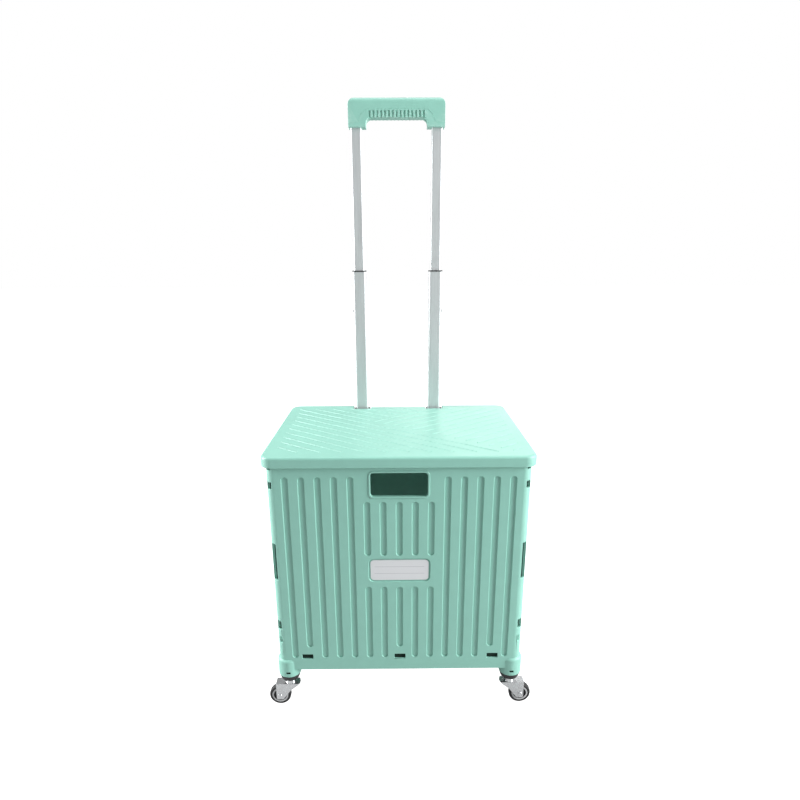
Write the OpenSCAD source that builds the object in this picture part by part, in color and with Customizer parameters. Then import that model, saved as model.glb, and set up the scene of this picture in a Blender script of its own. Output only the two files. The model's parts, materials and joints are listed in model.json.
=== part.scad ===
// Folding lidded crate trolley with a two-stage pull handle and four swivel casters.
// Millimetres. +Z is up, the front faces -Y, and the origin is on the floor under the middle.

/* [Crate] */
// Width over the corner posts
body_w = 420; // [400:5:450]
// Depth over the front and back panels
body_d = 318; // [310:2:330]
// Height of the panels' lower edge above the floor
panel_low = 81; // [78:1:84]
// Height of the lid's lower edge above the floor
rim_z = 457; // [450:1:480]
// Wall thickness of the moulded panels
wall = 6; // [5:0.5:6.5]
// Radius of the vertical corners
corner_r = 14; // [12:1:15]
// Angle that the stored floor panel leans past upright
floor_lean = 1.4; // [1:0.1:1.5]

/* [Lid] */
// Width of the lid
lid_w = 434; // [430:1:440]
// Depth of the lid
lid_d = 332; // [330:1:336]
// Height of the lid from its lower edge to its top
lid_h = 18; // [16:1:24]

/* [Grooves] */
// Distance between the grooves of the front panel
groove_pitch = 25.8; // [25:0.2:26]
// Width of a groove
groove_w = 10; // [7:1:12]
// Depth of a groove
groove_depth = 2.4; // [1:0.2:3]

/* [Handle] */
// Distance between the two tube centres
tube_gap = 145; // [144:1:146]
// Height of the top of the middle tubes, pulled out
middle_top = 741; // [720:1:760]
// Height of the top of the grip, pulled out
grip_top = 1034; // [1010:1:1050]
// Width of the grip
grip_w = 171; // [168:1:174]
// Depth of the grip
grip_d = 28; // [26:1:28]

/* [Casters] */
// Wheel diameter over the tyre
wheel_d = 38; // [36:1:38]
// Distance from the swivel axis to the axle
trail = 20; // [18:1:22]
// Heading of the wheels at rest, from the side towards the front or back
heading = 0; // [0:1:30]

/* [Hidden] */
$fn = 64;

mint = [0.56, 0.8, 0.73];
mint_light = [0.74, 0.93, 0.88];
dark = [0.12, 0.12, 0.13];
steel = [0.75, 0.76, 0.78];
alloy = [0.72, 0.76, 0.77];
grey = [0.8, 0.81, 0.82];

half_w = body_w / 2;
half_d = body_d / 2;
lid_top = rim_z + lid_h;
lid_plate = 4;
lid_skirt = 3;
lid_r = 20;
lid_back = 8;
notch_half = 17.5;
notch_reach = 14;
panel_top = lid_top - lid_plate - 0.4;
over = 1;

// Plan of the folding hinges: the corner axes stand in from the side faces, and the middle
// axis stands on the outer face, so that the two halves of a side fold flat face to face.
post_t = 4;
arm_gap = 0.5;
side_out = 12;
side_t = 7;
side_low = 102;
foot_low = panel_low + 2;
lap_in = 4;
hinge_x = half_w - post_t - side_out;
front_hinge_y = -half_d + 16;
rear_hinge_y = half_d - 38;
middle_y = (front_hinge_y + rear_hinge_y) / 2;
half_len = rear_hinge_y - middle_y;
mid_out = side_out + 0.3;
knuckle_r = 5.5;
barrel_r = 3.7;
corner_pin_r = 2;
middle_pin_r = 1.5;
run_gap = 0.05;
side_start = 12;
side_foot = 30;
hinge_low = 104;
hinge_top = 466;
arm_spans = [[hinge_low, 130], [252, 328], [440, hinge_top]];
boss_spans = [[131, 155], [205, 251], [329, 375], [432, 439]];
rear_barrels = [[105, 155], [207, 257], [309, 359], [411, 461]];
front_barrels = [[156, 206], [258, 308], [360, 410]];

// Front panel features, as heights above the floor.
groove_count = 15;
groove_low = 105.6;
groove_high = 439.7;
short_low = 127;
split_high = 397;
split_mid_high = 302;
split_mid_low = 244;
hand_slot = [91, 40];
hand_slot_z = 426.5;
rim_w = 3;
rim_proud = 1.2;
card = [96, 37];
card_z = 275;
card_recess = [101, 42];
tab_slot = [19, 9];
tab_slot_z = 107.5;
tab_slot_x = [-160, 0, 160];
post_windows = [[161, 178], [257, 323], [419, 431], [451, rim_z + 0.5]];
dimple_span = [135, 147];
window_depth = 10;
pocket_depth = 5;

// Caster cups under the corners.
cup_x = 195;
cup_y = half_d - 16;
cup_r = 19.3;
cup_low = 67;
cup_high = 101;
cup_round = 5;
drain_span = [73.5, 77.5];
ring_low = 52;
bowl_low = 57;
bowl_r = 15.6;
stem_r = 4;
nut_t = 2.8;
wheel_r = wheel_d / 2;
plate_r = 17;
plate_top = 45;
plate_t = 2;
cheek_in = 7.2;
cheek_t = 1.6;
cheek_drop = 7;
cheek_tail = 6;
axle_r = 2.5;
tyre_in = wheel_r - 4.7;

// Floor panel, hinged at the back panel's foot.
floor_axis = [0, 129, 109];
floor_half = 187;
floor_len = 276;
floor_t = 6;
floor_knuckle_r = 5;
lug_x = [-170, -72.5, 72.5, 170];
lug_w = 12;
finger_slot = [60, 24];

// Tubes, from the outside in: [width, depth, corner radius].
tube_x = tube_gap / 2;
tube_y = half_d - 7;
tube_wall = 1.5;
outer_size = [30, 19.6, 5];
middle_size = [25, 15, 4.5];
inner_size = [20, 10.5, 3.5];
channel_wall = 4;
channel_half = outer_size[0] / 2 + 5.5;
channel_back = tube_y - outer_size[1] / 2;
channel_t = 3.2;
outer_low = 86;
outer_top = panel_top;
middle_low = 396;
inner_low = 655;
inner_top = grip_top - 36;
collar_flange = 2;
collar_bush = 30;
slide_gap = 0.3;
lock_z = 668;
lock_r = 3;
lock_proud = 1.8;
lock_lead = 0.8;
rivet_z = [719, 731];
slot_w = 8;
clamp_z = [135, 400];
clamp_h = 24;
clamp_half = 26.5;
screw_off = 21;

// Grip.
grip_low = grip_top - 47;
grip_bar_low = grip_top - 32;
grip_mid = tube_y;
grip_arch = 109 / 2;
grip_seam = grip_low + 7;
insert_w = 12.5;
insert_top = grip_bar_low + 13;
rib_count = 14;
rib_pitch = 6.8;
rib_gap = 3.4;
rib_depth = 1.9;
yoke_z = grip_top - 20;
button_w = 37;
button_d = 13;
button_travel = 3;
dent = 1;

function rr_corner(s, r) = [s[0] / 2 - r, s[1] / 2 - r];

// A rounded rectangle, centred.
module rounded(s, r) {
    square([s[0] - 2 * r, s[1]], center = true);
    square([s[0], s[1] - 2 * r], center = true);
    c = rr_corner(s, r);
    for (i = [-1, 1], j = [-1, 1])
        translate([i * c[0], j * c[1]]) circle(r);
}

// The same extruded upwards between two heights.
module rounded_bar(s, r, z0, z1) {
    translate([0, 0, z0]) linear_extrude(z1 - z0) rounded(s, r);
}

// A box between two corners.
module box(a, b) {
    translate(a) cube(b - a);
}

// A flat shape drawn in width and height, standing across Y from y0 to y1.
module upright(y0, y1) {
    translate([0, y1, 0]) rotate([90, 0, 0]) linear_extrude(y1 - y0) children();
}

// A vertical cylinder between two heights.
module rod(r, z0, z1) {
    translate([0, 0, z0]) cylinder(r = r, h = z1 - z0);
}

// The outline of one groove with round ends.
module groove_outline(x, z0, z1) {
    r = groove_w / 2;
    translate([x - r, z0 + r]) square([groove_w, z1 - z0 - groove_w]);
    translate([x, z0 + r]) circle(r);
    translate([x, z1 - r]) circle(r);
}

module both_sides() {
    children();
    mirror([1, 0, 0]) children();
}

// ---- Front and back panels ----

// The plan of one rounded corner post on the left of the front, with its side wall that
// reaches back to y = wall_end.
module post_plan(wall_end) {
    cx = -half_w + corner_r;
    cy = -half_d + corner_r;
    intersection() {
        translate([cx, cy]) difference() {
            circle(corner_r);
            circle(corner_r - post_t);
        }
        translate([-half_w, -half_d]) square(corner_r);
    }
    translate([-half_w, cy]) square([post_t, wall_end - cy]);
}

// The windows and the dimple in a corner post, cut back to a depth from the panel's face.
module post_cuts(depth) {
    for (s = post_windows)
        box([-half_w + 1.5, -half_d - over, s[0]], [-half_w + 8.5, -half_d + depth, s[1]]);
    box([-half_w + 2, -half_d - over, dimple_span[0]], [-half_w + 8, -half_d + 5, dimple_span[1]]);
}

// The fixed knuckles on one corner axis at y, joined to the panel's inner face.
module bosses(y) {
    for (s = boss_spans)
        translate([-hinge_x, 0, s[0]]) linear_extrude(s[1] - s[0]) difference() {
            union() {
                translate([0, y]) circle(knuckle_r);
                translate([-knuckle_r, -half_d + wall - over])
                    square([2 * knuckle_r, y + half_d - wall + over]);
            }
            translate([0, y]) circle(corner_pin_r);
        }
}

// The moulded cup that holds a caster, with its small drain hole.
module cup() {
    translate([-cup_x, -cup_y, 0]) difference() {
        translate([0, 0, cup_low]) rotate_extrude() {
            square([cup_r, cup_high - cup_low - cup_round]);
            square([cup_r - cup_round, cup_high - cup_low]);
            translate([cup_r - cup_round, cup_high - cup_low - cup_round]) circle(cup_round);
        }
        rod(stem_r, cup_low - over, cup_high - 8);
        box([-3.5, -cup_r - over, drain_span[0]], [3.5, -cup_r + 4, drain_span[1]]);
    }
}

module groove_set() {
    mid = (groove_count - 1) / 2;
    for (i = [0 : groove_count - 1]) {
        x = (i - mid) * groove_pitch;
        end = abs(i - mid) == mid - 1;
        if (abs(i - mid) > 2) {
            groove_outline(x, end ? short_low : groove_low, groove_high);
        } else {
            groove_outline(x, split_mid_high, split_high);
            groove_outline(x, i == mid ? short_low : groove_low, split_mid_low);
        }
    }
}

module front_panel() color(mint) {
    difference() {
        union() {
            box([-half_w + corner_r, -half_d, panel_low], [half_w - corner_r, -half_d + wall, panel_top]);
            both_sides() {
                translate([0, 0, panel_low]) linear_extrude(panel_top - panel_low)
                    post_plan(front_hinge_y + side_start - 1);
                bosses(front_hinge_y);
            }
            upright(-half_d - rim_proud, -half_d + over) translate([0, hand_slot_z])
                rounded(hand_slot + [2 * rim_w, 2 * rim_w], 8);
        }
        both_sides() post_cuts(window_depth);
        both_sides() translate([-cup_x, -cup_y, 0]) rod(stem_r, cup_low, cup_high - 8);
        upright(-half_d - over, -half_d + groove_depth) groove_set();
        upright(-half_d - 2 * over, -half_d + wall + over) translate([0, hand_slot_z])
            rounded(hand_slot, 5);
        upright(-half_d - over, -half_d + groove_depth) translate([0, card_z]) rounded(card_recess, 8);
        for (x = tab_slot_x)
            upright(-half_d - over, -half_d + wall + over) translate([x, tab_slot_z])
                square(tab_slot, center = true);
    }
    both_sides() cup();
}

module label_card() color("white")
    upright(-half_d + groove_depth - 1.2, -half_d + groove_depth)
        translate([0, card_z]) rounded(card, 6);

// Plan of the back panel without its posts: outer skins, and a channel around each tube.
module back_plan() {
    edge = half_w - corner_r;
    inner = tube_x - channel_half;
    outer = tube_x + channel_half;
    translate([-inner, half_d - wall]) square([2 * inner, wall]);
    both_sides() {
        translate([outer, half_d - wall]) square([edge - outer, wall]);
        translate([inner - channel_wall, channel_back - channel_t])
            square([2 * channel_half + 2 * channel_wall, channel_t]);
        for (x = [inner - channel_wall, outer])
            translate([x, channel_back - channel_t])
                square([channel_wall, half_d - channel_back + channel_t]);
    }
}

module back_panel() color(mint) {
    mid = (groove_count - 1) / 2;
    difference() {
        union() {
            translate([0, 0, panel_low]) linear_extrude(panel_top - panel_low) back_plan();
            both_sides() {
                box([tube_x - channel_half, channel_back - over, panel_low],
                    [tube_x + channel_half, half_d, outer_low]);
                mirror([0, 1, 0]) {
                    translate([0, 0, panel_low]) linear_extrude(panel_top - panel_low)
                        post_plan(-rear_hinge_y + side_start - 1);
                    bosses(-rear_hinge_y);
                }
            }
            for (x = lug_x) {
                back = abs(x) > tube_x + 1 ? half_d - wall + over : channel_back - 1;
                translate([x - lug_w / 2, floor_axis[1], floor_axis[2]]) rotate([0, 90, 0])
                    cylinder(r = floor_knuckle_r, h = lug_w);
                box([x - lug_w / 2, floor_axis[1], floor_axis[2] - floor_knuckle_r],
                    [x + lug_w / 2, back, floor_axis[2] + floor_knuckle_r]);
            }
        }
        mirror([0, 1, 0]) both_sides() post_cuts(pocket_depth);
        mirror([0, 1, 0]) both_sides()
            translate([-cup_x, -cup_y, 0]) rod(stem_r, cup_low, cup_high - 8);
        upright(half_d - groove_depth, half_d + over)
            for (i = [0 : groove_count - 1])
                if (abs(i - mid) < 2 || abs(i - mid) > 4)
                    groove_outline((i - mid) * groove_pitch, groove_low, groove_high);
        translate([-half_w, floor_axis[1], floor_axis[2]]) rotate([0, 90, 0])
            cylinder(r = corner_pin_r, h = body_w);
        clamp_holes(1.6);
    }
    mirror([0, 1, 0]) both_sides() cup();
}

// The screw positions of the four tube clamps.
module clamp_holes(r) {
    for (x = [-tube_x, tube_x], z = clamp_z, o = [-screw_off, screw_off])
        translate([x + o, half_d + over, z]) rotate([90, 0, 0]) cylinder(r = r, h = 12);
}

// ---- Folding sides ----

// One half of the left side. Its corner axis is at x = 0, y = 0, the middle axis is at
// y = half_len, and +X points into the crate.
module side_half(barrels) {
    end = half_len - barrel_r - arm_gap;
    difference() {
        union() {
            box([-side_out, side_start, side_low], [side_t - side_out, end, panel_top]);
            box([-side_out, side_foot, foot_low], [side_t - side_out, end, side_low + 1]);
            box([lap_in - side_out, end - over, foot_low],
                [side_t - side_out, half_len - arm_gap / 2, panel_top]);
            for (s = arm_spans)
                translate([0, 0, s[0]]) linear_extrude(s[1] - s[0]) {
                    circle(knuckle_r);
                    translate([-side_out + arm_gap, 0]) square([side_out - arm_gap - 1, side_start + 2]);
                }
            for (s = barrels)
                translate([-mid_out, half_len, s[0] + 0.25]) linear_extrude(s[1] - s[0] - 0.5) {
                    circle(barrel_r);
                    translate([0, -barrel_r - over]) square([barrel_r - 0.2, barrel_r + over]);
                }
        }
        rod(corner_pin_r + run_gap, hinge_low - over, hinge_top + over);
        children();
        for (y = [side_start + 20 : groove_pitch : end - groove_w])
            translate([-side_out - over, y, 0]) rotate([90, 0, 90])
                linear_extrude(groove_depth + over) groove_outline(0, groove_low, groove_high);
    }
}

module rear_half()
    translate([-hinge_x, rear_hinge_y, 0]) mirror([0, 1, 0]) side_half(rear_barrels)
        translate([-mid_out, half_len, 0]) rod(middle_pin_r, hinge_low, hinge_top);

module front_half()
    translate([-hinge_x, front_hinge_y, 0]) side_half(front_barrels)
        translate([-mid_out, half_len, 0]) rod(middle_pin_r + run_gap, hinge_low, hinge_top);

module side_rear_left() color(mint_light) rear_half();
module side_rear_right() color(mint_light) mirror([1, 0, 0]) rear_half();
module side_front_left() color(mint_light) front_half();
module side_front_right() color(mint_light) mirror([1, 0, 0]) front_half();

module corner_pin(side, y) color(steel)
    translate([side * hinge_x, y, 0]) rod(corner_pin_r, hinge_low, hinge_top);

module corner_pin_rear_left() corner_pin(-1, rear_hinge_y);
module corner_pin_rear_right() corner_pin(1, rear_hinge_y);
module corner_pin_front_left() corner_pin(-1, front_hinge_y);
module corner_pin_front_right() corner_pin(1, front_hinge_y);

module middle_pin(side) color(steel)
    translate([side * (hinge_x + mid_out), middle_y, 0]) rod(middle_pin_r, 105, 461);

module middle_pin_left() middle_pin(-1);
module middle_pin_right() middle_pin(1);

// ---- Floor panel ----

module floor_panel() color(mint)
    translate(floor_axis) rotate([-90 - floor_lean, 0, 0]) difference() {
        union() {
            box([-floor_half, -floor_len, -floor_t / 2], [floor_half, 0, floor_t / 2]);
            translate([-floor_half, 0, 0]) rotate([0, 90, 0])
                cylinder(r = floor_knuckle_r, h = 2 * floor_half);
            for (x = tab_slot_x)
                box([x - 8, -floor_len - 5.5, -2.5], [x + 8, -floor_len + over, 2.5]);
        }
        for (x = lug_x)
            box([x - lug_w / 2 - 1, -floor_knuckle_r - 1.5, -10], [x + lug_w / 2 + 1, 10, 10]);
        translate([-body_w, 0, 0]) rotate([0, 90, 0])
            cylinder(r = corner_pin_r + run_gap, h = 2 * body_w);
        translate([0, -floor_len + 30, -10]) linear_extrude(20) rounded(finger_slot, 11.9);
    }

module floor_pin() color(steel)
    translate([-182, floor_axis[1], floor_axis[2]]) rotate([0, 90, 0]) cylinder(r = corner_pin_r, h = 364);

// ---- Lid ----

module lid() color(mint_light) difference() {
    rounded_bar([lid_w, lid_d], lid_r, rim_z, lid_top);
    rounded_bar([lid_w - 2 * lid_skirt, lid_d - 2 * lid_skirt], lid_r - lid_skirt,
        rim_z - over, lid_top - lid_plate);
    both_sides() box([tube_x - notch_half, tube_y - notch_reach, rim_z - over],
        [tube_x + notch_half, lid_d, lid_top + over]);
    box([-tube_x, half_d - lid_back, rim_z - over], [tube_x, lid_d, lid_top + over]);
}

// ---- Pull handle ----

module tube(size, z0, z1) {
    inner = [size[0] - 2 * tube_wall, size[1] - 2 * tube_wall];
    difference() {
        rounded_bar(size, size[2], z0, z1);
        rounded_bar(inner, size[2] - tube_wall, z0 - over, z1 + over);
    }
}

// A hole or pin across the outer side wall of a tube on the right.
module side_pin(r, x0, x1, z) {
    translate([x0, 0, z]) rotate([0, 90, 0]) cylinder(r = r, h = x1 - x0);
}

module right() translate([tube_x, tube_y, 0]) children();
module left() mirror([1, 0, 0]) translate([tube_x, tube_y, 0]) children();

module outer_tube() color(alloy) difference() {
    tube(outer_size, outer_low, outer_top);
    box([inner_size[0] / 2, -slot_w / 2, middle_low], [outer_size[0], slot_w / 2, outer_top + over]);
}

module collar(size, hole, bush, z) difference() {
    union() {
        rounded_bar([size[0] + 1.6, size[1] + 1.6], size[2] + 0.6, z, z + collar_flange);
        rounded_bar([size[0] - 2 * tube_wall, size[1] - 2 * tube_wall], size[2] - tube_wall,
            z - bush, z);
    }
    rounded_bar([hole[0] + 2 * slide_gap, hole[1] + 2 * slide_gap], hole[2], z - bush - over,
        z + collar_flange + over);
}

module outer_collar() difference() {
    collar(outer_size, middle_size, collar_bush, outer_top);
    box([inner_size[0] / 2, -slot_w / 2, outer_top - 40],
        [middle_size[0] / 2 + lock_proud + 0.8, slot_w / 2, outer_top + 10]);
}

module middle_tube() color(alloy) difference() {
    tube(middle_size, middle_low, middle_top);
    side_pin(lock_r, inner_size[0] / 2, middle_size[0], lock_z);
    for (z = rivet_z) side_pin(1.5, inner_size[0] / 2, middle_size[0], z);
}

module inner_tube() color(alloy) difference() {
    tube(inner_size, inner_low, inner_top);
    side_pin(lock_r + 0.4, 0, inner_size[0], lock_z);
}

module guide_plug() color(dark) {
    rounded_bar([inner_size[0], inner_size[1]], inner_size[2], inner_low - 3, inner_low);
    rounded_bar([inner_size[0] - 2 * tube_wall, inner_size[1] - 2 * tube_wall],
        inner_size[2] - tube_wall, inner_low, lock_z - 5);
}

module lock_pin() color(steel) {
    face = middle_size[0] / 2;
    side_pin(lock_r - run_gap, face - tube_wall - 0.1, face + lock_proud - lock_lead, lock_z);
    side_pin(lock_r - 0.7, face, face + lock_proud, lock_z);
}

module push_rod() color(steel) rod(2.5, lock_z + 8, yoke_z);

module outer_tube_left() left() outer_tube();
module outer_tube_right() right() outer_tube();
module middle_tube_left() left() middle_tube();
module middle_tube_right() right() middle_tube();
module inner_tube_left() left() inner_tube();
module inner_tube_right() right() inner_tube();
module guide_plug_left() left() guide_plug();
module guide_plug_right() right() guide_plug();
module lock_pin_left() left() lock_pin();
module lock_pin_right() right() lock_pin();
module push_rod_left() left() push_rod();
module push_rod_right() right() push_rod();

module outer_collars() color(dark) {
    left() outer_collar();
    right() outer_collar();
}

module middle_collars() color(dark) {
    left() collar(middle_size, inner_size, collar_bush, middle_top);
    right() collar(middle_size, inner_size, collar_bush, middle_top);
}

module rivet_pair()
    for (z = rivet_z)
        side_pin(1.5, middle_size[0] / 2 - tube_wall, middle_size[0] / 2 + 0.5, z);

module collar_rivets() color(steel) {
    left() rivet_pair();
    right() rivet_pair();
}

module tube_clamps() color(dark) difference() {
    for (x = [-tube_x, tube_x], z = clamp_z) {
        box([x - clamp_half, tube_y + outer_size[1] / 2, z - clamp_h / 2],
            [x + clamp_half, lid_d / 2 - 1.2, z + clamp_h / 2]);
        for (s = [-1, 1])
            translate([x + s * (outer_size[0] / 2 + clamp_half) / 2, (half_d + lid_d / 2 - 1.2) / 2, z])
                cube([clamp_half - outer_size[0] / 2, lid_d / 2 - 1.2 - half_d, clamp_h], center = true);
    }
    for (x = [-tube_x, tube_x], z = clamp_z, o = [-screw_off, screw_off])
        translate([x + o, lid_d / 2, z]) rotate([90, 0, 0]) cylinder(r = 1.6, h = 12);
}

module clamp_screws() color(steel)
    for (x = [-tube_x, tube_x], z = clamp_z, o = [-screw_off, screw_off])
        translate([x + o, lid_d / 2 - 1.2, z]) {
            rotate([90, 0, 0]) cylinder(r = 1.6, h = 12);
            rotate([-90, 0, 0]) cylinder(r = 3.4, h = 1.2);
        }

// ---- Grip ----

// The arch under the bar, in width and height: an opening with two round corners.
module arch(half, top, r) {
    translate([-half, grip_low - over]) square([2 * half, top - r - grip_low + over]);
    translate([-half + r, top - r - over]) square([2 * half - 2 * r, r + over]);
    for (s = [-1, 1]) translate([s * (half - r), top - r]) circle(r);
}

module grip_outline() difference() {
    union() {
        translate([0, (grip_low + grip_top) / 2]) rounded([grip_w, grip_top - grip_low], 12);
        translate([-grip_w / 2, grip_low]) square([grip_w, 20]);
    }
    arch(grip_arch, grip_bar_low, 9);
}

// The underside insert: a band along the arch, and the two feet.
module insert_outline() intersection() {
    grip_outline();
    union() {
        arch(grip_arch + insert_w, insert_top, 20);
        translate([-grip_w, grip_low - over]) square([2 * grip_w, grip_seam - grip_low + over]);
    }
}

module grip_section(inset) translate([-grip_w, 0, 0]) rotate([90, 0, 90])
    linear_extrude(2 * grip_w) translate([grip_mid, (grip_low + grip_top) / 2])
        rounded([grip_d - 2 * inset, grip_top - grip_low + 16 - 2 * inset], 8);

// Space inside the grip for the tube ends, the push rods, the button and its yoke.
module grip_inside() {
    both_sides() right() {
        rounded_bar([inner_size[0], inner_size[1]], inner_size[2], grip_low - over, inner_top);
        rod(3.6, inner_top - over, yoke_z);
    }
    box([-tube_x - 6, grip_mid - 5, yoke_z - 5], [tube_x + 6, grip_mid + 5, yoke_z + 8]);
    box([-button_w / 2 - 0.6, grip_mid - button_d / 2 - 0.6, yoke_z],
        [button_w / 2 + 0.6, grip_mid + button_d / 2 + 0.6, grip_top + over]);
    translate([0, grip_mid, 0]) rod(5, yoke_z - 9, yoke_z);
}

module grip_shell() color(mint) difference() {
    intersection() {
        upright(grip_mid - grip_d / 2, grip_mid + grip_d / 2) difference() {
            grip_outline();
            insert_outline();
        }
        translate([0, 0, -8]) grip_section(0);
    }
    grip_inside();
    both_sides() box([button_w / 2 - over, grip_mid - grip_d, grip_top - dent],
        [button_w / 2 + 2 * dent, grip_mid + grip_d, grip_top + over]);
}

module grip_underside() color(mint) difference() {
    upright(grip_mid - grip_d / 2, grip_mid + grip_d / 2) insert_outline();
    grip_inside();
    for (i = [0 : rib_count]) {
        x = (i - rib_count / 2) * rib_pitch;
        for (y = [grip_mid - grip_d / 2 - over, grip_mid + grip_d / 2 - rib_depth])
            box([x - rib_gap / 2, y, grip_bar_low - over],
                [x + rib_gap / 2, y + rib_depth + over, insert_top - 2]);
    }
}

module release_button() color(mint_light) {
    box([-tube_x - 4, grip_mid - 4, yoke_z], [tube_x + 4, grip_mid + 4, yoke_z + 5]);
    box([-button_w / 2, grip_mid - button_d / 2, yoke_z + 5 - over],
        [button_w / 2, grip_mid + button_d / 2, grip_top]);
}

module button_spring() color(steel) translate([0, grip_mid, yoke_z - 9 + 0.6])
    for (i = [0 : 4]) translate([0, 0, i * 1.9]) rotate_extrude($fn = 32)
        translate([3.4, 0]) circle(0.6, $fn = 16);

// ---- Casters ----

// Places a caster. Its own frame has the swivel axis on Z and the wheel trailing along +X.
module at_caster(sx, sy) {
    translate([sx * cup_x, sy * cup_y, 0]) rotate(sx > 0 ? heading : 180 + heading) children();
}

module caster_ring(sx, sy) color(dark) at_caster(sx, sy) {
    translate([0, 0, ring_low]) cylinder(r1 = 9.4, r2 = bowl_r, h = bowl_low - ring_low);
    translate([0, 0, bowl_low]) cylinder(r1 = bowl_r, r2 = cup_r - 0.4, h = cup_low - bowl_low);
    rod(stem_r, plate_top - plate_t - nut_t, cup_high - 9);
    translate([0, 0, plate_top - plate_t - nut_t - 0.3]) cylinder(r = 6.6, h = nut_t, $fn = 6);
}

// One side plate of a fork, seen along the axle: upright behind, slanting in front.
module cheek_outline() {
    low = wheel_r - cheek_drop;
    tail = trail + cheek_tail;
    polygon([[-14, plate_top], [-14, plate_top - 3], [0, wheel_r + 12], [trail - 7.5, low + 2],
        [trail - 5, low], [tail - 2, low], [tail, low + 2], [tail, plate_top]]);
}

// The top plate of a fork: a disc drawn out over the wheel and cut straight at its sides.
module plate_outline() intersection() {
    union() {
        circle(plate_r);
        translate([0, -plate_r]) square([trail + cheek_tail, 2 * plate_r]);
    }
    square([4 * plate_r, 2 * (cheek_in + cheek_t)], center = true);
}

module fork(sx, sy) color(steel) at_caster(sx, sy) difference() {
    union() {
        translate([0, 0, plate_top - plate_t]) linear_extrude(plate_t) plate_outline();
        translate([0, 0, plate_top - over]) cylinder(r1 = 8.6, r2 = 7.6, h = ring_low - plate_top + 0.7);
        for (y = [-cheek_in - cheek_t, cheek_in])
            upright(y, y + cheek_t) cheek_outline();
    }
    rod(stem_r + run_gap, plate_top - 5, ring_low + over);
    translate([trail, 0, wheel_r]) rotate([90, 0, 0]) cylinder(r = axle_r, h = 40, center = true);
}

module axle(sx, sy) color(steel) at_caster(sx, sy) translate([trail, 0, wheel_r])
    rotate([90, 0, 0]) {
        cylinder(r = axle_r, h = 2 * (cheek_in + cheek_t) + 1, center = true);
        for (z = [cheek_in + cheek_t, -cheek_in - cheek_t - 1]) translate([0, 0, z])
            cylinder(r = 4.2, h = 1);
    }

module wheel(sx, sy) color(grey) at_caster(sx, sy) translate([trail, 0, wheel_r])
    rotate([90, 0, 0]) rotate_extrude() polygon([
        [axle_r + run_gap, -6.8], [5.5, -6.8], [5.5, -3], [11.4, -3], [11.4, -5.5], [tyre_in, -5.5],
        [tyre_in, 5.5], [11.4, 5.5], [11.4, 3], [5.5, 3], [5.5, 6.8], [axle_r + run_gap, 6.8]
    ]);

module tyre(sx, sy) color(dark) at_caster(sx, sy) translate([trail, 0, wheel_r])
    rotate([90, 0, 0]) rotate_extrude() polygon([
        [tyre_in, -5.5], [tyre_in + 1, -6], [wheel_r - 2, -6], [wheel_r - 0.6, -4.8], [wheel_r, -3],
        [wheel_r, 3], [wheel_r - 0.6, 4.8], [wheel_r - 2, 6], [tyre_in + 1, 6], [tyre_in, 5.5]
    ]);

module caster_ring_rear_left() caster_ring(-1, 1);
module caster_ring_rear_right() caster_ring(1, 1);
module caster_ring_front_left() caster_ring(-1, -1);
module caster_ring_front_right() caster_ring(1, -1);
module fork_rear_left() fork(-1, 1);
module fork_rear_right() fork(1, 1);
module fork_front_left() fork(-1, -1);
module fork_front_right() fork(1, -1);
module axle_rear_left() axle(-1, 1);
module axle_rear_right() axle(1, 1);
module axle_front_left() axle(-1, -1);
module axle_front_right() axle(1, -1);
module wheel_rear_left() wheel(-1, 1);
module wheel_rear_right() wheel(1, 1);
module wheel_front_left() wheel(-1, -1);
module wheel_front_right() wheel(1, -1);
module tyre_rear_left() tyre(-1, 1);
module tyre_rear_right() tyre(1, 1);
module tyre_front_left() tyre(-1, -1);
module tyre_front_right() tyre(1, -1);

back_panel();
front_panel();
side_rear_left();
side_rear_right();
side_front_left();
side_front_right();
floor_panel();
lid();
label_card();
corner_pin_rear_left();
corner_pin_rear_right();
corner_pin_front_left();
corner_pin_front_right();
middle_pin_left();
middle_pin_right();
floor_pin();
outer_tube_left();
outer_tube_right();
outer_collars();
tube_clamps();
clamp_screws();
middle_tube_left();
middle_tube_right();
middle_collars();
collar_rivets();
lock_pin_left();
lock_pin_right();
inner_tube_left();
inner_tube_right();
guide_plug_left();
guide_plug_right();
push_rod_left();
push_rod_right();
grip_shell();
grip_underside();
release_button();
button_spring();
caster_ring_rear_left();
caster_ring_rear_right();
caster_ring_front_left();
caster_ring_front_right();
fork_rear_left();
fork_rear_right();
fork_front_left();
fork_front_right();
axle_rear_left();
axle_rear_right();
axle_front_left();
axle_front_right();
wheel_rear_left();
wheel_rear_right();
wheel_front_left();
wheel_front_right();
tyre_rear_left();
tyre_rear_right();
tyre_front_left();
tyre_front_right();
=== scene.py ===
import json
import math

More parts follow.
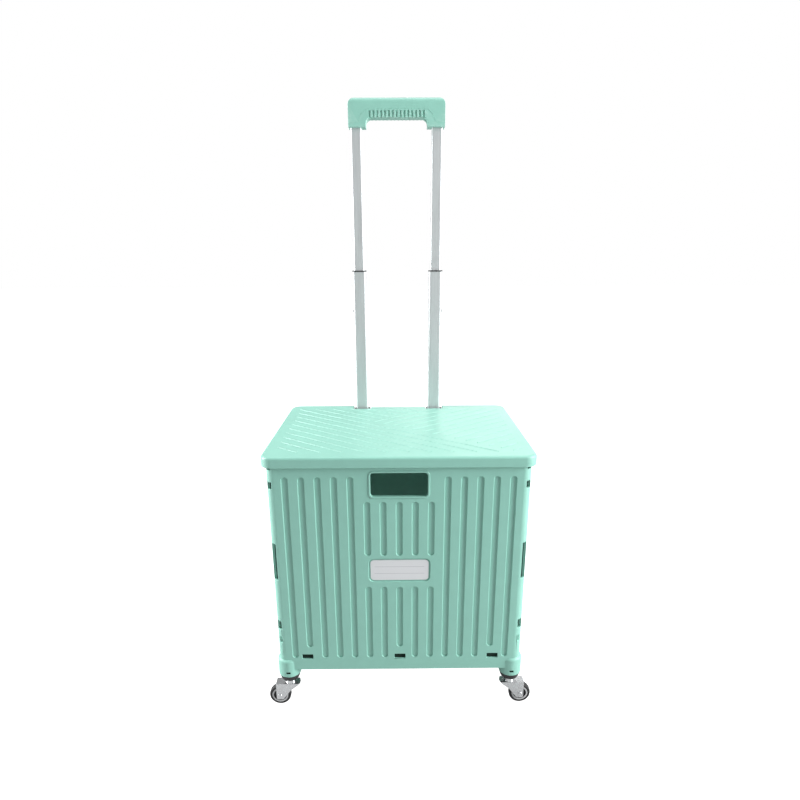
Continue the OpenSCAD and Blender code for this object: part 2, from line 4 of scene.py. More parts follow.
import bmesh
import bpy
from mathutils import Euler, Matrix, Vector


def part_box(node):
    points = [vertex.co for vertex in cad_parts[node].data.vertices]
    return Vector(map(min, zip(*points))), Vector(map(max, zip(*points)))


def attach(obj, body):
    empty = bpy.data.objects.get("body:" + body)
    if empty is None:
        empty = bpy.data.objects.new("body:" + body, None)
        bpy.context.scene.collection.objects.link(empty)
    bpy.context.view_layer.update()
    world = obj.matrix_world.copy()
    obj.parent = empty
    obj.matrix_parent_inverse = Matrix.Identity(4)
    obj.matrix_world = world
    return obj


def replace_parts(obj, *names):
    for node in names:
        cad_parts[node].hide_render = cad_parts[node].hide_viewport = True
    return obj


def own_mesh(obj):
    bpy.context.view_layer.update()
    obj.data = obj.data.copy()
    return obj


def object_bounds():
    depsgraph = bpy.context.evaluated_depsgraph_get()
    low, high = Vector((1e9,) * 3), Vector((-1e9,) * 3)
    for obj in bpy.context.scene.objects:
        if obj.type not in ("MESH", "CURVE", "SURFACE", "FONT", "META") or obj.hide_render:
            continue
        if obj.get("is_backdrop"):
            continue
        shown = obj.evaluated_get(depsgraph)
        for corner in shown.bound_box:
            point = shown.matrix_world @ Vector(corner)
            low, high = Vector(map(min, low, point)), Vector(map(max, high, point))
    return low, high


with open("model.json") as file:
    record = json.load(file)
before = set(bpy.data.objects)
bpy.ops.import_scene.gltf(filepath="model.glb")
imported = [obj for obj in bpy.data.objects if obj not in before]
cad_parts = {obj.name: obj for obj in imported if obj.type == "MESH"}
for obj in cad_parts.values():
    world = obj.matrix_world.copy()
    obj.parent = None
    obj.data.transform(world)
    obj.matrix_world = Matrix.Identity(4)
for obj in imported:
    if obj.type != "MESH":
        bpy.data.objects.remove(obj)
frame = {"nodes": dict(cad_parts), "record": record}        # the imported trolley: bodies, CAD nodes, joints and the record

cad_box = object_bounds()

# ---- Camera ----
# A person's view of the front, from a little over a metre away and looking down on the lid.

EYE = Vector((-0.0033, -1.0328, 0.772))
LOOK_DOWN = math.radians(17.65)
LOOK_RIGHT = math.radians(0.33)
ROLL = math.radians(-0.25)

camera_data = bpy.data.cameras.new("front_view")
camera_data.sensor_width = 36
camera_data.lens = 26.8
camera_data.shift_y = 0.055
camera = bpy.data.objects.new("front_view", camera_data)
camera.location = EYE
aim = Euler((math.radians(90) - LOOK_DOWN, 0, -LOOK_RIGHT), "XYZ").to_matrix()
camera.rotation_euler = (aim @ Euler((0, 0, ROLL)).to_matrix()).to_euler()
scene = bpy.context.scene
scene.collection.objects.link(camera)
scene.camera = camera
scene.view_settings.view_transform = "Standard"

# ---- Studio ----
# A pale floor under a white sky, with a broad soft light above and one at each side. The side
# lights catch the rounded corners, and the front is left in softer light.

FLOOR_HALF = 14.0
FLOOR_GREY = 0.42         # what the floor reflects
FLOOR_GLOW = 1.0          # what the camera sees of it, so that it meets the backdrop
BACKDROP = 1.0
SKY_FILL = 0.39           # the sky as a light, apart from what the camera sees


def add_area(name, place, target, size, power):
    light = bpy.data.lights.new(name, "AREA")
    light.shape = "RECTANGLE"
    light.size, light.size_y = size
    light.energy = power
    lamp = bpy.data.objects.new(name, light)
    lamp.location = place
    lamp.rotation_euler = (Vector(target) - Vector(place)).to_track_quat("-Z", "Y").to_euler()
    scene.collection.objects.link(lamp)


add_area("top_light", (0.3, 0.3, 3.0), (0, 0, 0.4), (2.0, 1.6), 34)
add_area("left_light", (-2.4, 0.1, 1.1), (0, 0, 0.4), (0.8, 1.8), 105)
add_area("right_light", (2.5, -0.85, 1.2), (0, 0, 0.4), (1.3, 1.8), 122)
add_area("back_light", (1.1, 2.6, 1.2), (0, 0, 0.5), (2.4, 1.3), 20)

sky = bpy.data.worlds.new("white_sky")
sky.use_nodes = True
sky_tree = sky.node_tree
backdrop = sky_tree.nodes["Background"]
backdrop.inputs["Color"].default_value = (1, 1, 1, 1)
backdrop.inputs["Strength"].default_value = BACKDROP
fill = sky_tree.nodes.new("ShaderNodeBackground")
fill.inputs["Color"].default_value = (1, 1, 1, 1)
fill.inputs["Strength"].default_value = SKY_FILL
seen = sky_tree.nodes.new("ShaderNodeLightPath")
choose = sky_tree.nodes.new("ShaderNodeMixShader")
sky_tree.links.new(seen.outputs["Is Camera Ray"], choose.inputs[0])
sky_tree.links.new(fill.outputs[0], choose.inputs[1])
sky_tree.links.new(backdrop.outputs[0], choose.inputs[2])
sky_tree.links.new(choose.outputs[0], sky_tree.nodes["World Output"].inputs["Surface"])
scene.world = sky

floor_mesh = bpy.data.meshes.new("studio_floor")
floor_mesh.from_pydata(
    [(x, y, 0) for x, y in ((-FLOOR_HALF, -FLOOR_HALF), (FLOOR_HALF, -FLOOR_HALF),
                            (FLOOR_HALF, FLOOR_HALF), (-FLOOR_HALF, FLOOR_HALF))],
    [], [(0, 1, 2, 3)])
studio_floor = bpy.data.objects.new("studio_floor", floor_mesh)
scene.collection.objects.link(studio_floor)
studio_floor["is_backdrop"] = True

floor_paint = bpy.data.materials.new("pale_floor")
floor_paint.use_nodes = True
floor_shader = floor_paint.node_tree.nodes["Principled BSDF"]
floor_shader.inputs["Base Color"].default_value = (FLOOR_GREY, FLOOR_GREY, FLOOR_GREY, 1)
floor_shader.inputs["Roughness"].default_value = 0.9
floor_shader.inputs["Specular IOR Level"].default_value = 0.0
floor_shader.inputs["Emission Color"].default_value = (1, 1, 1, 1)
floor_glow = floor_paint.node_tree.nodes.new("ShaderNodeLightPath")
floor_level = floor_paint.node_tree.nodes.new("ShaderNodeMath")
floor_level.operation = "MULTIPLY"
floor_level.inputs[1].default_value = FLOOR_GLOW
floor_paint.node_tree.links.new(floor_glow.outputs["Is Camera Ray"], floor_level.inputs[0])
floor_paint.node_tree.links.new(floor_level.outputs[0], floor_shader.inputs["Emission Strength"])
floor_mesh.materials.append(floor_paint)

# ---- Moulded plastic ----
# The crate, lid and grip are injection-moulded polypropylene with a fine satin grain. Every
# such finish shares the mould's grain, uneven pigment, convex edges lightened as rubbed wear
# and painted highlight together, and concave edges darkened with painted shade.


class Graph:
    """A node tree with short calls for adding and joining nodes."""

    def __init__(self, tree):
        self.tree = tree

    def add(self, kind, **settings):
        node = self.tree.nodes.new(kind)
        for name, value in settings.items():
            setattr(node, name, value)
        return node

    def join(self, out, into):
        self.tree.links.new(out, into)

    def noise(self, vector, scale, detail=4, roughness=0.5):
        node = self.add("ShaderNodeTexNoise")
        node.inputs["Detail"].default_value = detail
        node.inputs["Roughness"].default_value = roughness
        if isinstance(scale, (int, float)):
            node.inputs["Scale"].default_value = scale
        else:
            self.join(scale, node.inputs["Scale"])
        self.join(vector, node.inputs["Vector"])
        return node.outputs["Fac"]

    def spread(self, value, low, high, to_low=0.0, to_high=1.0):
        node = self.add("ShaderNodeMapRange")
        self.join(value, node.inputs["Value"])
        for name, number in zip(("From Min", "From Max", "To Min", "To Max"),
                                (low, high, to_low, to_high)):
            node.inputs[name].default_value = number
        return node.outputs["Result"]

    def math(self, kind, a, b):
        node = self.add("ShaderNodeMath", operation=kind)
        for slot, value in zip(node.inputs, (a, b)):
            if isinstance(value, (int, float)):
                slot.default_value = value
            else:
                self.join(value, slot)
        return node.outputs[0]

    def mix(self, factor, a, b):
        node = self.add("ShaderNodeMix", data_type="RGBA")
        self.join(factor, node.inputs[0])
        for slot, value in ((node.inputs[6], a), (node.inputs[7], b)):
            if isinstance(value, tuple):
                slot.default_value = value
            else:
                self.join(value, slot)
        return node.outputs[2]


def new_group(name, inputs, outputs):
    """A shader node group. inputs are (name, default) pairs and outputs are names."""
    tree = bpy.data.node_groups.new(name, "ShaderNodeTree")
    for label, default in inputs:
        kind = "NodeSocketVector" if label == "Vector" else "NodeSocketFloat"
        made = tree.interface.new_socket(label, in_out="INPUT", socket_type=kind)
        if default is not None:
            made.default_value = default
    for label in outputs:
        tree.interface.new_socket(label, in_out="OUTPUT", socket_type="NodeSocketFloat")
    graph = Graph(tree)
    return graph, graph.add("NodeGroupInput"), graph.add("NodeGroupOutput")


grain, grain_in, grain_out = new_group(
    "mould_grain", [("Vector", None), ("Scale", 1400.0)], ["Height", "Sheen", "Pigment"])
fine = grain.noise(grain_in.outputs["Vector"], grain_in.outputs["Scale"], 3, 0.6)
broad = grain.noise(grain_in.outputs["Vector"], 9.0, 3)
mottle = grain.noise(grain_in.outputs["Vector"], 60.0, 5)
grain.join(fine, grain_out.inputs["Height"])
grain.join(grain.math("ADD", grain.spread(fine, 0.3, 0.7, -0.04, 0.04),
                      grain.spread(broad, 0.3, 0.7, -0.03, 0.05)), grain_out.inputs["Sheen"])
grain.join(grain.math("MULTIPLY", grain.spread(mottle, 0.25, 0.75, 0.975, 1.02),
                      grain.spread(broad, 0.3, 0.7, 0.985, 1.01)), grain_out.inputs["Pigment"])

# The first output lightens convex edges in scuffed patches, rubbed wear and painted highlight
# together; the second darkens concave edges evenly with painted shade.
wear_shade, wear_shade_in, wear_shade_out = new_group(
    "edge_wear_and_shade", [("Vector", None), ("Edge", 0.5), ("Amount", 1.0)], ["Mask", "Crease Shade"])
scuff = wear_shade.noise(wear_shade_in.outputs["Vector"], 220.0, 4, 0.7)
raised = wear_shade.spread(wear_shade_in.outputs["Edge"], 0.53, 0.62)
sunken = wear_shade.spread(wear_shade_in.outputs["Edge"], 0.47, 0.40)
wear_shade.join(wear_shade.math("MULTIPLY", wear_shade.math("MULTIPLY", raised, wear_shade.spread(scuff, 0.35, 0.65)),
                    wear_shade_in.outputs["Amount"]), wear_shade_out.inputs["Mask"])
wear_shade.join(wear_shade.math("MULTIPLY", sunken, wear_shade_in.outputs["Amount"]), wear_shade_out.inputs["Crease Shade"])


def place_group(graph, name, **values):
    node = graph.add("ShaderNodeGroup", node_tree=bpy.data.node_groups[name])
    for label, value in values.items():
        if isinstance(value, (int, float)):
            node.inputs[label].default_value = value
        else:
            graph.join(value, node.inputs[label])
    return node.outputs


def moulded(name, colour, roughness=0.42, grain_depth=0.035, wear_and_shade=0.5, grain_scale=1400.0):
    """A satin moulded plastic: grain in the bump, pigment in the colour, lighter edges for rubbed
    wear and painted highlight, darker hollow edges for painted shade.
    """
    material = bpy.data.materials.new(name)
    material.use_nodes = True
    graph = Graph(material.node_tree)
    shader = material.node_tree.nodes["Principled BSDF"]
    place = graph.add("ShaderNodeTexCoord").outputs["Object"]
    edge = graph.add("ShaderNodeNewGeometry").outputs["Pointiness"]
    texture = place_group(graph, "mould_grain", Vector=place, Scale=grain_scale)
    rub_shade = place_group(graph, "edge_wear_and_shade", Vector=place, Edge=edge, Amount=wear_and_shade)
    tint = graph.add("ShaderNodeHueSaturation")
    tint.inputs["Color"].default_value = (*colour, 1)
    graph.join(texture["Pigment"], tint.inputs["Value"])
    # Lighter tone for convex edges, rubbed wear and painted highlight together; darker tone for the
    # painted shade in concave edges.
    light = tuple(min(1, c * 0.8 + 0.22) for c in colour)
    crease_shade_tone = tuple(c * 0.55 for c in colour)
    rubbed_highlit = graph.mix(rub_shade["Mask"], tint.outputs["Color"], (*light, 1))
    graph.join(graph.mix(rub_shade["Crease Shade"], rubbed_highlit, (*crease_shade_tone, 1)), shader.inputs["Base Color"])
    graph.join(graph.math("ADD", texture["Sheen"], roughness), shader.inputs["Roughness"])
    bump = graph.add("ShaderNodeBump")
    bump.inputs["Strength"].default_value = 1.0
    bump.inputs["Distance"].default_value = grain_depth / 1000
    graph.join(texture["Height"], bump.inputs["Height"])
    graph.join(bump.outputs["Normal"], shader.inputs["Normal"])
    shader.inputs["IOR"].default_value = 1.47
    return material


def softened(node, width, material, segments=3, angle=28):
    """A copy of a CAD node, its loose triangles merged and its edges rounded by width metres."""
    bm = bmesh.new()
    bm.from_mesh(frame["nodes"][node].data)
    bmesh.ops.remove_doubles(bm, verts=bm.verts, dist=2e-6)
    bmesh.ops.dissolve_limit(bm, angle_limit=math.radians(0.6), verts=bm.verts, edges=bm.edges)
    mesh = bpy.data.meshes.new(node + "_skin")
    bm.to_mesh(mesh)
    bm.free()
    piece = bpy.data.objects.new(node + "_skin", mesh)
    scene.collection.objects.link(piece)
    mesh.materials.clear()
    mesh.materials.append(material)
    mesh.shade_smooth()
    if width:
        rounding = piece.modifiers.new("rounded edges", "BEVEL")
        rounding.width = width
        rounding.segments = segments
        rounding.limit_method = "ANGLE"
        rounding.angle_limit = math.radians(angle)
        rounding.use_clamp_overlap = False
        rounding.loop_slide = False
        rounding.harden_normals = True
        rounding.miter_outer = "MITER_ARC"
    shading = piece.modifiers.new("even shading", "WEIGHTED_NORMAL")
    shading.mode = "FACE_AREA_WITH_ANGLE"
    shading.weight = 100
    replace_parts(piece, node)
    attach(piece, next(b for b, ns in frame["record"]["behaviour"]["bodies"].items() if node in ns))
    return piece


mint = moulded("mint_plastic", (0.262, 0.540, 0.455))

# ---- Crate panels ----
# The front, the back, the two folding sides and the floor are separate mouldings on steel
# pins, with every edge rounded by the mould.

for panel, edge in (("front_panel", 0.0009), ("back_panel", 0.0009), ("side_rear_left", 0.0008),
                    ("side_rear_right", 0.0008), ("side_front_left", 0.0008),
                    ("side_front_right", 0.0008), ("floor_panel", 0.0005)):
    softened(panel, edge, mint)

# ---- Slot pads ----
# Thin dark pads lie inside the front panel's three tab slots and its cups' drain holes. They
# are painted shade, standing in for the shade inside those openings, and close them to view,
# although the CAD leaves them open.

# The pads' colour is painted shade: a near-black green for the shade inside the openings.
slot_shade_paint = moulded("painted_slot_shade", (0.004, 0.022, 0.014), 0.95, 0.08, 0.0, 2600.0)
front_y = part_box("front_panel")[0][1]
PAD = 0.0004             # thickness of every pad
SLOT_PAD_IN, DRAIN_PAD_IN = 0.0066, 0.0012       # how far they lie behind the front face
SLOT_PAD_Z, DRAIN_PAD_Z = 0.1075, 0.0755
SLOT_PADS = [((x, front_y + SLOT_PAD_IN, SLOT_PAD_Z), (0.024, PAD, 0.013))
             for x in (-0.160, 0.0, 0.160)]
DRAIN_PADS = [((x, front_y + DRAIN_PAD_IN, DRAIN_PAD_Z), (0.0078, PAD, 0.0048))
              for x in (-0.195, 0.195)]
pad_mesh = bpy.data.meshes.new("slot_shade_pads")
bm = bmesh.new()
for place, size in SLOT_PADS + DRAIN_PADS:
    made = bmesh.ops.create_cube(bm, size=1)["verts"]
    bmesh.ops.scale(bm, vec=size, verts=made)
    bmesh.ops.translate(bm, vec=place, verts=made)
bm.to_mesh(pad_mesh)
bm.free()
pad_mesh.materials.append(slot_shade_paint)
shade_pads = bpy.data.objects.new("slot_shade_pads", pad_mesh)
scene.collection.objects.link(shade_pads)
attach(shade_pads, "front")

# ---- Lid ----
# One flat moulding with a skirt that drops over the crate. Its outer edge is well rounded and
# its two notches let the handle tubes through.

LID_ROUND = 0.0048       # radius of the outer edge
LID_FINE = 0.16          # share of it that the other edges get
LID_CORNER = 0.0205      # how far the rounded corners reach in from the sides
ON_FACE = 0.0001         # how near a face a point counts as on it

lid = softened("lid", LID_ROUND, mint, segments=5)
lid_low, lid_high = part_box("lid")
bm = bmesh.new()
bm.from_mesh(lid.data)
weight = bm.edges.layers.float.new("bevel_weight_edge")


def on_outline(vert):
    on_side = abs(vert.co.x) > lid_high[0] - LID_CORNER
    on_end = min(vert.co.y - lid_low[1], lid_high[1] - vert.co.y) < ON_FACE
    return vert.co.z > lid_high[2] - ON_FACE and (on_side or on_end)


for edge in bm.edges:
    if all(on_outline(v) for v in edge.verts):
        edge[weight] = 1.0
    elif edge.is_manifold and edge.calc_face_angle() > math.radians(30):
        edge[weight] = LID_FINE
bm.to_mesh(lid.data)
bm.free()
lid.modifiers["rounded edges"].limit_method = "WEIGHT"

# ---- Anti-slip ribs ----
# Fine half-round ribs moulded on the lid in two slanting fields that meet along a V, each rib
# closed by a small stud at both ends.

RIB_PITCH = 0.0215
RIB_ROUND = 0.0012       # radius of a rib's section
RIB_SUNK = 0.0003        # how far its centre lies under the lid's face
STUD_ROUND = 0.0015
FIELD_LOW = Vector((lid_low[0] + 0.022, lid_low[1] + 0.026))
FIELD_HIGH = Vector((lid_high[0] - 0.021, lid_high[1] - 0.031))
V_POINT = Vector((-0.052, 0.040))
V_GAP = 0.004            # what a rib keeps clear of the V
FALLING_START = 0.0063   # the first rib of each field, measured from the V's point
RISING_START = 0.006
RISING_PITCH = 0.022
FALLING_LEAST = 0.01     # shorter ribs are left out
RISING_LEAST = 0.014
FALLING = math.radians(-37.5)
RISING = math.radians(39)


def clipped(point, direction):
    """The stretch of a line that lies inside the ribbed field, as two distances along it."""
    near, far = -1.0, 1.0
    for axis in (0, 1):
        if abs(direction[axis]) > 1e-6:
            ends = sorted((side[axis] - point[axis]) / direction[axis]
                          for side in (FIELD_LOW, FIELD_HIGH))
            near, far = max(near, ends[0]), min(far, ends[1])
    return near, far


falling = Vector((math.cos(FALLING), math.sin(FALLING)))
rising = Vector((math.cos(RISING), math.sin(RISING)))
across = Vector((-falling.y, falling.x))
rib_ends = []
for i in range(-10, 8):
    point = V_POINT + across * (FALLING_START + i * RIB_PITCH)
    near, far = clipped(point, falling)
    if point.y > V_POINT.y:
        far = min(far, rising.cross(V_POINT - point) / rising.cross(falling) - V_GAP)
    if far - near > FALLING_LEAST:
        rib_ends.append((point + falling * near, point + falling * far))
for i in range(14):
    point = V_POINT + falling * (RISING_START + i * RISING_PITCH)
    near, far = clipped(point, rising)
    if far > RISING_LEAST:
        rib_ends.append((point + rising * max(near, V_GAP), point + rising * far))

rib_lines = bpy.data.meshes.new("rib_lines")
rib_lines.from_pydata([(p.x, p.y, lid_high[2] - RIB_SUNK) for pair in rib_ends for p in pair],
                      [(2 * i, 2 * i + 1) for i in range(len(rib_ends))], [])


class Recipe(Graph):
    """A Geometry Nodes tree with named inputs, ending in Realize Instances and Set Material."""

    def __init__(self, name, **inputs):
        super().__init__(bpy.data.node_groups.new(name, "GeometryNodeTree"))
        ask = self.tree.interface
        kinds = {float: "NodeSocketFloat", int: "NodeSocketInt",
                 bpy.types.Material: "NodeSocketMaterial"}
        ask.new_socket("Geometry", in_out="INPUT", socket_type="NodeSocketGeometry")
        self.values = {}
        for label, value in inputs.items():
            made = ask.new_socket(label, in_out="INPUT", socket_type=kinds[type(value)])
            self.values[made.identifier] = value
        ask.new_socket("Geometry", in_out="OUTPUT", socket_type="NodeSocketGeometry")
        self.given = self.add("NodeGroupInput").outputs

    def node(self, kind, **links):
        made = self.add(kind)
        for label, value in links.items():
            slot = made.inputs[label.replace("_", " ")]
            if isinstance(value, bpy.types.NodeSocket):
                self.join(value, slot)
            else:
                slot.default_value = value
        return made

    def end(self, geometry):
        smooth = self.node("GeometryNodeSetShadeSmooth", Geometry=geometry)
        whole = self.node("GeometryNodeRealizeInstances", Geometry=smooth.outputs[0])
        coat = self.node("GeometryNodeSetMaterial", Geometry=whole.outputs[0],
                         Material=self.given["Material"])
        self.join(coat.outputs[0], self.add("NodeGroupOutput").inputs[0])

    def make(self, name, mesh, body, slot):
        """Runs the tree on a mesh and leaves a plain piece on its body."""
        seed = bpy.data.objects.new(name + "_seed", mesh)
        scene.collection.objects.link(seed)
        modifier = seed.modifiers.new("recipe", "NODES")
        modifier.node_group = self.tree
        for identifier, value in self.values.items():
            modifier[identifier] = value
        graph = bpy.context.evaluated_depsgraph_get()
        made = bpy.data.meshes.new_from_object(seed.evaluated_get(graph))
        seed.modifiers.remove(modifier)
        bpy.data.objects.remove(seed)
        made.name = name
        piece = bpy.data.objects.new(name, made)
        scene.collection.objects.link(piece)
        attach(piece, body)
        return piece


ribs = Recipe("rib_recipe", Radius=RIB_ROUND, Sides=10, Stud=STUD_ROUND, Material=mint)
line = ribs.node("GeometryNodeMeshToCurve", Mesh=ribs.given["Geometry"])
section = ribs.node("GeometryNodeCurvePrimitiveCircle", Resolution=ribs.given["Sides"],
                    Radius=ribs.given["Radius"])
bar = ribs.node("GeometryNodeCurveToMesh", Curve=line.outputs[0],
                Profile_Curve=section.outputs[0], Fill_Caps=True)
stud = ribs.node("GeometryNodeMeshIcoSphere", Radius=ribs.given["Stud"], Subdivisions=2)
studs = ribs.node("GeometryNodeInstanceOnPoints", Points=ribs.given["Geometry"],
                  Instance=stud.outputs[0])
both = ribs.add("GeometryNodeJoinGeometry")
ribs.join(bar.outputs[0], both.inputs[0])
ribs.join(studs.outputs[0], both.inputs[0])
ribs.end(both.outputs[0])
ribs.make("lid_ribs", rib_lines, "lid", "mint_plastic")

# ---- Label ----
# A printed card in the front panel's shallow recess: off-white stock with a faint fibre and
# two ruled lines that stop short of its ends.

CARD_INSET = 0.007
CARD_FADE = 0.0003                     # over what length a ruled line ends
RULE_HALF, RULE_SOFT = 0.0002, 0.0004    # half a line's height, without and with its soft edge
label_low, label_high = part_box("label_card")
card_paper = bpy.data.materials.new("label_card")
card_paper.use_nodes = True
paper = Graph(card_paper.node_tree)
paper_shader = card_paper.node_tree.nodes["Principled BSDF"]
where = paper.add("ShaderNodeTexCoord").outputs["Object"]
split = paper.add("ShaderNodeSeparateXYZ")
paper.join(where, split.inputs[0])
marks = None
for share in (1 / 3, 2 / 3):
    height = label_low[2] + share * (label_high[2] - label_low[2])
    off = paper.math("ABSOLUTE", paper.math("SUBTRACT", split.outputs["Z"], height), 0)
    mark = paper.spread(off, RULE_SOFT, RULE_HALF)
    marks = mark if marks is None else paper.math("MAXIMUM", marks, mark)
side = paper.math("ABSOLUTE", split.outputs["X"], 0)
marks = paper.math("MULTIPLY", marks, paper.spread(side, label_high[0] - CARD_INSET + CARD_FADE,
                                                   label_high[0] - CARD_INSET))
fibre = paper.noise(where, 900.0, 5, 0.65)
stock = paper.mix(paper.spread(fibre, 0.3, 0.7), (0.650, 0.668, 0.690, 1), (0.700, 0.715, 0.735, 1))
paper.join(paper.mix(paper.math("MULTIPLY", marks, 0.75), stock, (0.330, 0.350, 0.380, 1)),
           paper_shader.inputs["Base Color"])
paper.join(paper.spread(fibre, 0.2, 0.8, 0.42, 0.56), paper_shader.inputs["Roughness"])
paper_bump = paper.add("ShaderNodeBump")
paper_bump.inputs["Distance"].default_value = 0.00003
paper.join(fibre, paper_bump.inputs["Height"])
paper.join(paper_bump.outputs["Normal"], paper_shader.inputs["Normal"])
softened("label_card", 0.0003, card_paper)

# ---- Handle tubes ----
# Three stages of drawn aluminium tube on each side, satin anodised, with fine lines left along
# them by the die. The metallic value was chosen for a pale grey; it isn't aluminium's.


def metal(name, colour, roughness, streak, dents, along=(1, 1, 1), metallic=1.0):
    """A metal whose roughness and shade vary in streaks; along stretches the streaks on an axis."""
    material = bpy.data.materials.new(name)
    material.use_nodes = True
    graph = Graph(material.node_tree)
    shader = material.node_tree.nodes["Principled BSDF"]
    shader.inputs["Metallic"].default_value = metallic
    place = graph.add("ShaderNodeTexCoord").outputs["Object"]
    stretch = graph.add("ShaderNodeMapping")
    stretch.inputs["Scale"].default_value = along
    graph.join(place, stretch.inputs["Vector"])
    lines = graph.noise(stretch.outputs[0], streak, 3, 0.6)
    smudge = graph.noise(place, 28.0, 4, 0.6)
    dull = tuple(c * 0.86 for c in colour)
    tone = graph.mix(graph.spread(lines, 0.3, 0.7), (*dull, 1), (*colour, 1))
    smudged = graph.mix(graph.spread(smudge, 0.45, 0.75, 0.0, 0.35), tone, (*dull, 1))
    graph.join(smudged, shader.inputs["Base Color"])
    graph.join(graph.math("ADD", graph.spread(lines, 0.3, 0.7, -0.05, 0.05),
                          graph.spread(smudge, 0.3, 0.75, roughness - 0.03, roughness + 0.10)),
               shader.inputs["Roughness"])
    bump = graph.add("ShaderNodeBump")
    bump.inputs["Distance"].default_value = dents
    graph.join(lines, bump.inputs["Height"])
    graph.join(bump.outputs["Normal"], shader.inputs["Normal"])
    return material


ALONG_TUBE = (1, 1, 0.01)
anodised = metal("tube_aluminium", (0.64, 0.67, 0.68), 0.42, 900.0, 0.00002, ALONG_TUBE,
                 metallic=0.45)
for stage in ("outer", "middle", "inner"):
    for side in ("left", "right"):
        softened(f"{stage}_tube_{side}", 0.0003, anodised, 2)

# ---- Collars and clamps ----
# Black nylon collars guide the sliding stages, and four nylon bridges hold the outer tubes in
# the back panel's channels.

nylon = moulded("black_nylon", (0.022, 0.022, 0.024), 0.46, 0.03, 0.35, 1800.0)
for part, edge in (("outer_collars", 0.00015), ("middle_collars", 0.0002), ("tube_clamps", 0.0012),
                   ("guide_plug_left", 0.0003), ("guide_plug_right", 0.0003)):
    softened(part, edge, nylon)

# ---- Fasteners ----
# Pan-head screws with a cross recess hold the clamps, and domed rivets pin the middle collars.

wire_steel = metal("drawn_steel", (0.62, 0.62, 0.64), 0.30, 1500.0, 0.00001)

screw_low, screw_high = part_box("clamp_screws")
SCREW_HEAD = 0.0034
HEAD_FLAT = 0.55
RECESS = (0.0034, 0.0009, 0.0012)      # one bar of the cross: length, width and depth
SCREW_PAIR = 0.042                     # distance between the two screws of a clamp
SHANK_RADIUS, SHANK_LENGTH, SHANK_DROP = 0.0016, 0.012, 0.0058
KEPT_RADIUS, KEPT_HEIGHT = 0.0060, 0.004  # the part of the dome that is kept as the head
KEPT_LIFT = 0.002 - 0.0006


def cloud(name, points):
    mesh = bpy.data.meshes.new(name)
    mesh.from_pydata(points, [], [])
    return mesh


screw_x = [side * (screw_high[0] - SCREW_HEAD - gap) for side in (-1, 1) for gap in (0, SCREW_PAIR)]
screw_z = (screw_low[2] + SCREW_HEAD, screw_high[2] - SCREW_HEAD)
screw_y = screw_high[1] - SCREW_HEAD * HEAD_FLAT
screw_places = cloud("screw_places", [(x, screw_y, z) for x in screw_x for z in screw_z])

screws = Recipe("screw_recipe", Head=SCREW_HEAD, Shank=SHANK_RADIUS, Length=SHANK_LENGTH,
                Material=wire_steel)
dome = screws.node("GeometryNodeMeshUVSphere", Segments=24, Rings=12, Radius=screws.given["Head"])
flat = screws.node("GeometryNodeTransform", Geometry=dome.outputs[0], Scale=(1, 1, HEAD_FLAT))
keep = screws.node("GeometryNodeMeshCylinder", Vertices=24, Radius=KEPT_RADIUS, Depth=KEPT_HEIGHT)
kept = screws.node("GeometryNodeTransform", Geometry=keep.outputs[0], Translation=(0, 0, KEPT_LIFT))
head = screws.add("GeometryNodeMeshBoolean", operation="INTERSECT")
screws.join(flat.outputs[0], head.inputs[1])
screws.join(kept.outputs[0], head.inputs[1])
slots = []
for size in (RECESS, (RECESS[1], RECESS[0], RECESS[2])):
    slot_bar = screws.node("GeometryNodeMeshCube", Size=size)
    slots.append(screws.node("GeometryNodeTransform", Geometry=slot_bar.outputs[0],
                             Translation=(0, 0, SCREW_HEAD * HEAD_FLAT - RECESS[2] / 3)).outputs[0])
cut = screws.add("GeometryNodeMeshBoolean", operation="DIFFERENCE")
screws.join(head.outputs[0], cut.inputs[0])
for bar_cut in slots:
    screws.join(bar_cut, cut.inputs[1])
shank = screws.node("GeometryNodeMeshCylinder", Vertices=12, Radius=screws.given["Shank"],
                    Depth=screws.given["Length"])
sunk = screws.node("GeometryNodeTransform", Geometry=shank.outputs[0],
                   Translation=(0, 0, -SHANK_DROP))
screw = screws.add("GeometryNodeJoinGeometry")
screws.join(cut.outputs[0], screw.inputs[0])
screws.join(sunk.outputs[0], screw.inputs[0])
facing = screws.node("GeometryNodeTransform", Geometry=screw.outputs[0],
                     Rotation=(math.radians(-90), 0, 0))
placed = screws.node("GeometryNodeInstanceOnPoints", Points=screws.given["Geometry"],
                     Instance=facing.outputs[0])
screws.end(placed.outputs[0])
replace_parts(screws.make("clamp_screws_steel", screw_places, "back", "steel"), "clamp_screws")

for pin in ("corner_pin_rear_left", "corner_pin_rear_right", "corner_pin_front_left",
            "corner_pin_front_right", "middle_pin_left", "middle_pin_right", "floor_pin",
            "collar_rivets", "lock_pin_left", "lock_pin_right", "push_rod_left", "push_rod_right"):
    softened(pin, 0.0003, wire_steel, 2)

# ---- Button spring ----
# A wound steel wire under the button, swept as one closed round section along a spiral.

WIRE = 0.0005
TURNS = 5.0
COIL_GAP = 0.0001        # what the coil keeps inside its CAD box
spring_low, spring_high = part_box("button_spring")
spring_middle = (Vector(spring_low) + Vector(spring_high)) / 2
coil_radius = (spring_high[0] - spring_low[0]) / 2 - WIRE - COIL_GAP
coil_height = spring_high[2] - spring_low[2] - 2 * WIRE - 2 * COIL_GAP

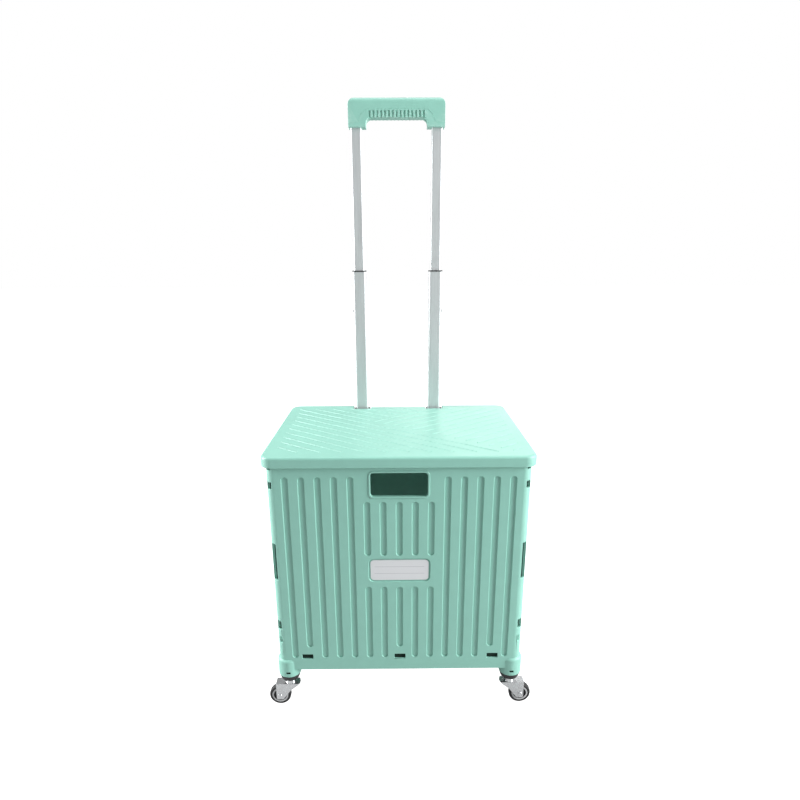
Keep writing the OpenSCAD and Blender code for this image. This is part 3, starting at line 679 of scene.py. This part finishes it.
coil = Recipe("spring_recipe", Turns=TURNS, Radius=coil_radius, Height=coil_height, Wire=WIRE,
              Material=wire_steel)
spiral = coil.node("GeometryNodeCurveSpiral", Resolution=28, Rotations=coil.given["Turns"],
                   Start_Radius=coil.given["Radius"], End_Radius=coil.given["Radius"],
                   Height=coil.given["Height"])
wire = coil.node("GeometryNodeCurvePrimitiveCircle", Resolution=10, Radius=coil.given["Wire"])
wound = coil.node("GeometryNodeCurveToMesh", Curve=spiral.outputs[0],
                  Profile_Curve=wire.outputs[0], Fill_Caps=True)
coil_base = (spring_middle.x, spring_middle.y, spring_low[2] + WIRE + COIL_GAP)
coil_start = cloud("coil_start", [coil_base])
placed_coil = coil.node("GeometryNodeInstanceOnPoints", Points=coil.given["Geometry"],
                        Instance=wound.outputs[0])
coil.end(placed_coil.outputs[0])
spring = coil.make("button_spring_wire", coil_start, "inner_stage", "steel")
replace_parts(spring, "button_spring")
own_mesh(spring)

# ---- Grip ----
# A moulded shell over a ribbed underside, screwed together around the tube ends, with the
# release button let into its top.

for part, edge in (("grip_shell", 0.00045), ("grip_underside", 0.0004), ("release_button", 0.0008)):
    softened(part, edge, mint)

# ---- Casters ----
# Each swivel caster has a black cover, a bright-plated pressed fork, and a grey moulded wheel
# with a hard rubber tyre on a riveted axle.

chrome = metal("bright_plating", (0.80, 0.81, 0.83), 0.24, 300.0, 0.000005)
rubber = moulded("hard_rubber", (0.020, 0.020, 0.021), 0.62, 0.06, 0.6, 900.0)
wheel_grey = moulded("wheel_grey", (0.560, 0.570, 0.580), 0.40, 0.03, 0.4, 1600.0)
RECESS_RADIUS = 0.0121   # the dark recess in a wheel's side
RECESS_REACH = 0.0052    # how far from the wheel's middle its floor may lie

for corner in ("rear_left", "rear_right", "front_left", "front_right"):
    softened("caster_ring_" + corner, 0.0010, nylon)
    softened("fork_" + corner, 0.00035, chrome)
    softened("axle_" + corner, 0.0004, chrome)
    softened("tyre_" + corner, 0.0004, rubber, angle=20)
    wheel = softened("wheel_" + corner, 0.0003, wheel_grey)
    # The faces of the side recess take the black nylon: partly a dark hub, partly painted shade for
    # the shade that falls in the recess behind the fork.
    wheel.data.materials.append(nylon)
    low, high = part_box("wheel_" + corner)
    centre = (Vector(low) + Vector(high)) / 2
    for face in wheel.data.polygons:
        reach = face.center - centre
        if math.hypot(reach.x, reach.z) < RECESS_RADIUS and abs(reach.y) < RECESS_REACH:
            face.material_index = 1

size = {"cad": [list(c) for c in cad_box], "visual": [list(c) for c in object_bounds()]}
